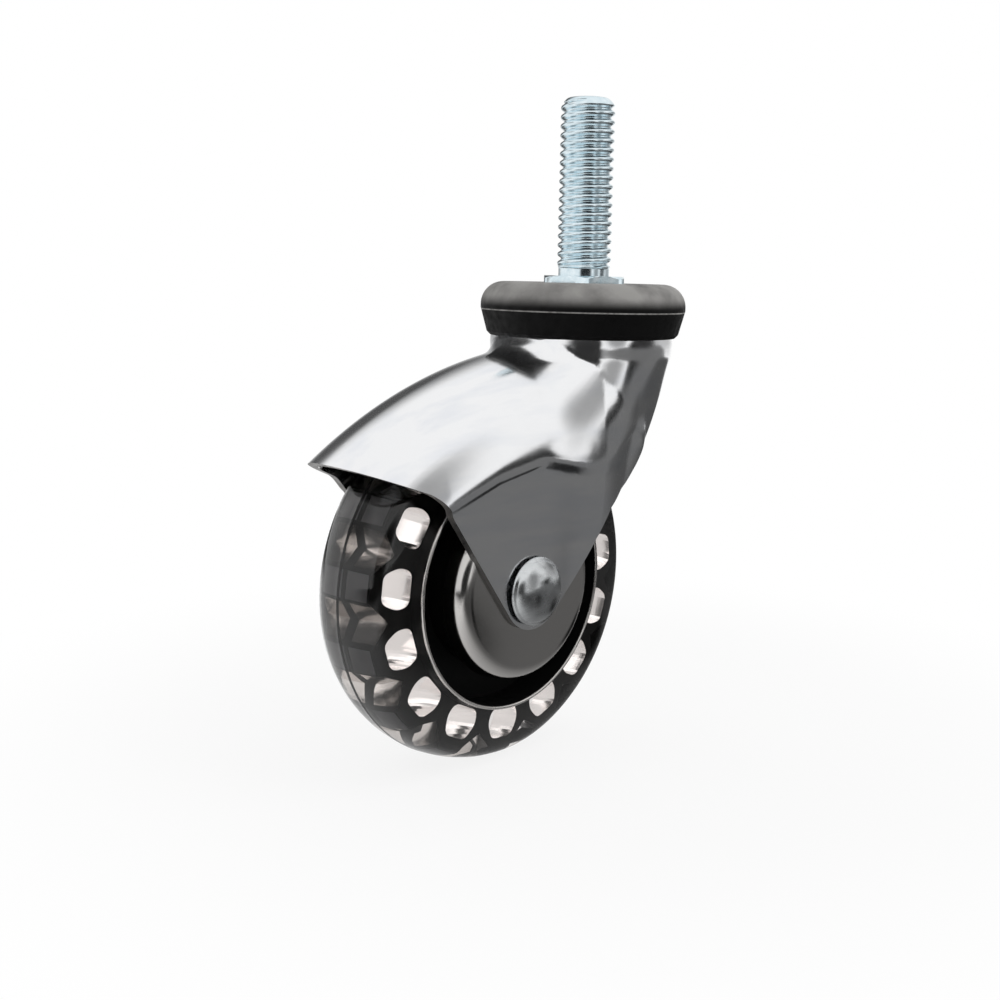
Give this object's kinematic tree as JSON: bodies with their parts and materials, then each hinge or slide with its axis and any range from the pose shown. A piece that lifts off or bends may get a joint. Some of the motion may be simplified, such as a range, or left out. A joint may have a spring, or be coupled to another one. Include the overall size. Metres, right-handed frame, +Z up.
{
  "type": "stem castor",
  "caption": "Swivel castor with a threaded stem, a black bumper ring, a chromed steel hood with a beak and a wheel with a smoke-grey translucent tread over a honeycomb core",
  "frame": {"origin": "on the swivel axis, at the upper face of the stem's hexagon, where the furniture rests", "axes": "+Z up along the stem, -X the way the wheel trails and the beak points, Y along the wheel's axle"},
  "size_m": [0.0755, 0.0362, 0.1125],
  "materials": {
    "zinc_plated_steel": "bright zinc plate",
    "bearing_steel": "ground",
    "chromed_steel": "polished chrome plate",
    "satin_steel": "satin",
    "bumper_rubber": "matte moulded",
    "black_nylon": "moulded",
    "smoke_urethane": "translucent, glossy"
  },
  "bodies": {
    "mount": {"threaded_stem": "zinc_plated_steel", "bearing_cap": "zinc_plated_steel", "bumper_ring": "bumper_rubber", "upper_balls": "bearing_steel", "lower_race_cup": "zinc_plated_steel", "lower_balls": "bearing_steel"},
    "fork": {"hooded_fork": "chromed_steel", "axle_rivet": "zinc_plated_steel", "axle_sleeve": "zinc_plated_steel", "left_cover_cup": "satin_steel", "right_cover_cup": "satin_steel", "left_spacer": "zinc_plated_steel", "right_spacer": "zinc_plated_steel", "left_inner_ring": "bearing_steel", "right_inner_ring": "bearing_steel"},
    "wheel": {"wheel_core": "black_nylon", "tread": "smoke_urethane", "left_outer_ring": "bearing_steel", "right_outer_ring": "bearing_steel", "left_bearing_balls": "bearing_steel", "right_bearing_balls": "bearing_steel", "left_bearing_shields": "bearing_steel", "right_bearing_shields": "bearing_steel"}
  },
  "joints": [
    {"name": "swivel", "type": "hinge", "parent": "mount", "child": "fork", "pos_m": [0, 0, -0.006], "axis": [0, 0, 1], "continuous": true},
    {"name": "wheel_spin", "type": "hinge", "parent": "fork", "child": "wheel", "pos_m": [-0.0245, 0, -0.0507], "axis": [0, 1, 0], "continuous": true}
  ]
}
